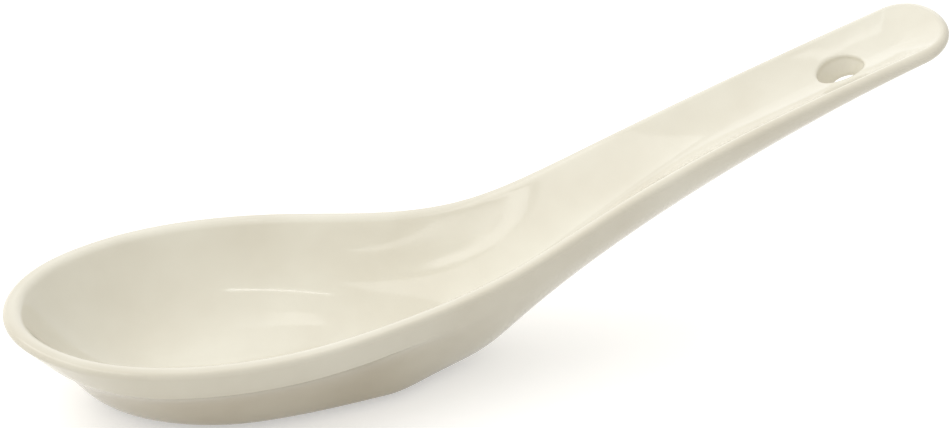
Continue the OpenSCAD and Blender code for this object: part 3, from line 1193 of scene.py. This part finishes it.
@dataclass
class FiredBody:
    """The fired clay body under the glaze, which shows only round the foot."""

    skin: SpoonSkin
    gap: float = 0.02
    finish: FiredClay = field(
        default_factory=lambda: FiredClay("stoneware_cast_and_fired", "#DDD3BC", "#A8977A")
    )

    def build(self) -> bpy.types.Object:
        """Make the body just inside the coat and put it in place of the bowl and handle solids."""
        body = self.skin.sheet(Underside.MIDDLE).inset(self.skin.form.glaze + self.gap)
        return self.dress(body.piece("fired_body", self.finish.material()))

    def dress(self, piece: bpy.types.Object) -> bpy.types.Object:
        """Hang the piece from the root and hide the solids that it takes the place of.

        Args:
            piece: The piece.

        Returns:
            The same piece.
        """
        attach(piece, "root")
        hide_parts("bowl", "handle")
        return piece


@dataclass
class BareFoot:
    """The low unglazed foot that the spoon stands on, with a worn round edge."""

    form: SpoonForm
    rounding: float = 0.45
    sections: int = 120
    round_steps: int = 6
    flat_steps: int = 10
    finish: FiredClay = field(
        default_factory=lambda: FiredClay(
            "bare_clay_ground_flat", "#CDBF9E", "#8A7656", grain_mm=0.5
        )
    )

    def sheet(self) -> Sheet:
        """The foot as a grid: over the top, down the side, round the edge and in along the bottom.

        Each section of the foot follows the bare patch's outline, and the edge is a quarter circle.

        Returns:
            The closed mesh of both halves.
        """
        u = self.form.even_ribs(self.form.length / (2.0 * self.sections))
        rib = self.form.rib(u, Underside.BARE_EDGE)
        open_ribs = rib.spine <= self.form.length * self.form.heel_share
        half = (rib.bare * self.form.foot_share)[open_ribs][:, None]
        half[-1] = 0.0
        edge = np.minimum(self.rounding, half / 2.0)
        top = self.form.foot_height + self.form.glaze + FOOT_SEAT
        inwards = np.linspace(0.0, 1.0, self.flat_steps + 1)[None]
        turn = np.linspace(0.0, math.pi / 2.0, self.round_steps + 1)[None]
        over = pair(half * inwards, top)
        side = pair(half - edge * (1.0 - np.cos(turn)), edge * (1.0 - np.sin(turn)))
        below = pair((half - edge) * (1.0 - inwards[:, 1:]), 0.0)
        flat = np.concatenate([over, side, below], axis=1)
        spine, aim_x, aim_y = (v[open_ribs][:, None] for v in (rib.spine, rib.aim_x, rib.aim_y))
        points = self.form.place(spine, aim_x, aim_y, flat)
        return Sheet.grid(points, np.zeros(points.shape[:2])).with_mirror()

    def build(self) -> bpy.types.Object:
        """Make the foot and put it in place of its solid."""
        return self.dress(self.sheet().piece("bare_foot", self.finish.material()))

    def dress(self, piece: bpy.types.Object) -> bpy.types.Object:
        """Hang the piece from the root and hide the solid that it takes the place of.

        Args:
            piece: The piece.

        Returns:
            The same piece.
        """
        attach(piece, "root")
        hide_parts("foot")
        return piece


@dataclass(frozen=True)
class Softbox:
    """A soft rectangular studio lamp, in metres and degrees.

    It shines down until it is tilted and turned.
    """

    name: str
    place: tuple[float, float, float]
    width: float
    depth: float
    radiance: float
    tilt: float = 0.0
    turn: float = 0.0

    def build(self) -> bpy.types.Object:
        """Make the lamp: its power is radiance times pi times area.

        Returns:
            The lamp's object.
        """
        lamp = bpy.data.lights.new(self.name, "AREA")
        lamp.shape = "RECTANGLE"
        lamp.size, lamp.size_y = self.width, self.depth
        lamp.energy = self.radiance * math.pi * self.width * self.depth
        made = linked(self.name, lamp)
        made.location = self.place
        made.rotation_euler = (math.radians(self.tilt), 0.0, math.radians(self.turn))
        return made


@dataclass
class Studio:
    """Plain pale floor, soft lamps and the camera at the photograph's viewing angle.

    Places are in metres and angles in degrees. The rear softbox lights the rim from behind, and
    each strip and window is one reflection in the glaze.
    """

    target: tuple[float, float, float] = (0.0002, 0.0, 0.0223)
    azimuth: float = -12.53
    elevation: float = 28.38
    distance: float = 0.2764
    focal_px: float = 1865.0
    middle_px: tuple[float, float] = (482.4, 221.4)
    image_px: tuple[int, int] = (950, 428)
    sensor_mm: float = 36.0
    nearest: float = 0.01
    floor_half: float = 3.0
    floor_colour: str = "#E0DEDA"
    floor_glow: float = 0.44
    world_colour: str = "#FFFFFF"
    world_seen: float = 1.0
    fill_light: float = 0.65
    key_light: float = 0.8
    key_towards: tuple[float, float, float] = (-0.45, 0.2, 0.87)
    key_narrowness: float = 3.0
    lamps: tuple[Softbox, ...] = (
        Softbox(
            "rear_softbox", (0.0, 1.0, 0.35), width=1.6, depth=0.5, radiance=0.38, tilt=-75.0
        ),
        Softbox(
            "floor_strip", (-0.12, -0.16, 0.7), width=0.19, depth=0.014, radiance=7.0, turn=-22.0
        ),
        Softbox("neck_window", (-0.48, 0.24, 0.7), width=0.38, depth=1.02, radiance=1.4),
        Softbox(
            "neck_strip", (-0.53, -0.33, 0.7), width=0.22, depth=0.07, radiance=2.6, turn=-16.0
        ),
        Softbox(
            "left_window", (-0.52, -0.5, 0.7), width=0.06, depth=0.26, radiance=1.8, turn=14.0
        ),
        Softbox(
            "rear_strip", (-0.05, 0.27, 0.7), width=0.016, depth=0.24, radiance=1.8, turn=-10.0
        ),
    )

    def camera(self) -> bpy.types.Object:
        """Camera on a sphere round the target, with its lens from the focal length in pixels.

        Returns:
            The camera's object.
        """
        a, e = math.radians(self.azimuth), math.radians(self.elevation)
        back = Vector((math.sin(a) * math.cos(e), -math.cos(a) * math.cos(e), math.sin(e)))
        width, height = self.image_px
        lens = bpy.data.cameras.new("camera")
        lens.sensor_fit = "HORIZONTAL"
        lens.sensor_width = self.sensor_mm
        lens.lens = self.focal_px / width * self.sensor_mm
        lens.shift_x = (width / 2.0 - self.middle_px[0]) / width
        lens.shift_y = (self.middle_px[1] - height / 2.0) / width
        lens.clip_start = self.nearest
        made = linked("camera", lens)
        made.location = Vector(self.target) + back * self.distance
        made.rotation_euler = (-back).to_track_quat("-Z", "Y").to_euler()
        bpy.context.scene.camera = made
        return made

    @staticmethod
    def seen(tree: bpy.types.NodeTree) -> Socket:
        """1 for rays that show the background: to the camera, in a reflection or through glass.

        Args:
            tree: Node tree of the floor's material or of the world.

        Returns:
            The output that holds the 1 or 0.
        """
        rays = add(tree, "LightPath").outputs
        direct = add(tree, "Math", {"operation": "MAXIMUM"}, {
            0: rays["Is Camera Ray"], 1: rays["Is Glossy Ray"],
        })
        every = add(tree, "Math", {"operation": "MAXIMUM"}, {
            0: direct.outputs[0], 1: rays["Is Transmission Ray"],
        })
        return every.outputs[0]

    def floor(self) -> bpy.types.Object:
        """Pale floor that glows a little where it is seen: it is white but keeps the shadow.

        Returns:
            The floor's object.
        """
        paint = bpy.data.materials.new("pale_matt_studio_floor")
        tree = cleared(paint)
        glow = add(tree, "Math", {"operation": "MULTIPLY"}, {
            0: self.seen(tree), 1: self.floor_glow,
        })
        light = add(tree, "Emission", None, {"Strength": glow.outputs[0]})
        matt = add(tree, "BsdfDiffuse", None, {"Color": linear(self.floor_colour)})
        both = add(tree, "AddShader", None, {0: light.outputs[0], 1: matt.outputs[0]})
        add(tree, "OutputMaterial", None, {"Surface": both.outputs[0]})
        h = self.floor_half
        corners = [(-h, -h, 0.0), (h, -h, 0.0), (h, h, 0.0), (-h, h, 0.0)]
        mesh = bpy.data.meshes.new("studio_floor")
        mesh.from_pydata(corners, [], [(0, 1, 2, 3)])
        mesh.materials.append(paint)
        made = linked("studio_floor", mesh)
        return made

    def world(self) -> None:
        """White surroundings that give an even fill and a broad soft key light.

        The key light falls off as a power of the cosine of the angle from its middle.
        """
        made = bpy.data.worlds.new("studio_white")
        tree = cleared(made)
        towards = add(tree, "VectorMath", {"operation": "DOT_PRODUCT"}, {
            0: add(tree, "TexCoord").outputs["Generated"], 1: self.key_towards,
        })
        facing = add(tree, "Math", {"operation": "MAXIMUM"}, {0: towards.outputs["Value"], 1: 0.0})
        lobe = add(tree, "Math", {"operation": "POWER"}, {
            0: facing.outputs[0], 1: self.key_narrowness,
        })
        soft = add(tree, "Math", {"operation": "MULTIPLY_ADD"}, {
            0: lobe.outputs[0], 1: self.key_light, 2: self.fill_light,
        })
        level = add(tree, "MapRange", None, {
            "Value": self.seen(tree), "To Min": soft.outputs[0], "To Max": self.world_seen,
        })
        light = add(tree, "Background", None, {
            "Color": linear(self.world_colour), "Strength": level.outputs[0],
        })
        add(tree, "OutputWorld", None, {"Surface": light.outputs[0]})
        bpy.context.scene.world = made

    def build(self) -> None:
        """Make the camera, floor, surroundings and lamps."""
        bpy.context.scene.view_settings.view_transform = "Standard"
        self.camera()
        self.floor()
        self.world()
        for lamp in self.lamps:
            lamp.build()


def main() -> None:
    """Build the studio and the spoon's three pieces."""
    logging.basicConfig(level=logging.INFO)
    Studio().build()
    form = SpoonForm()
    skin = SpoonSkin(form, HangingHole(form))
    for assembly in (GlazeCoat(skin), FiredBody(skin), BareFoot(form)):
        piece = assembly.build()


if __name__ == "__main__":
    main()
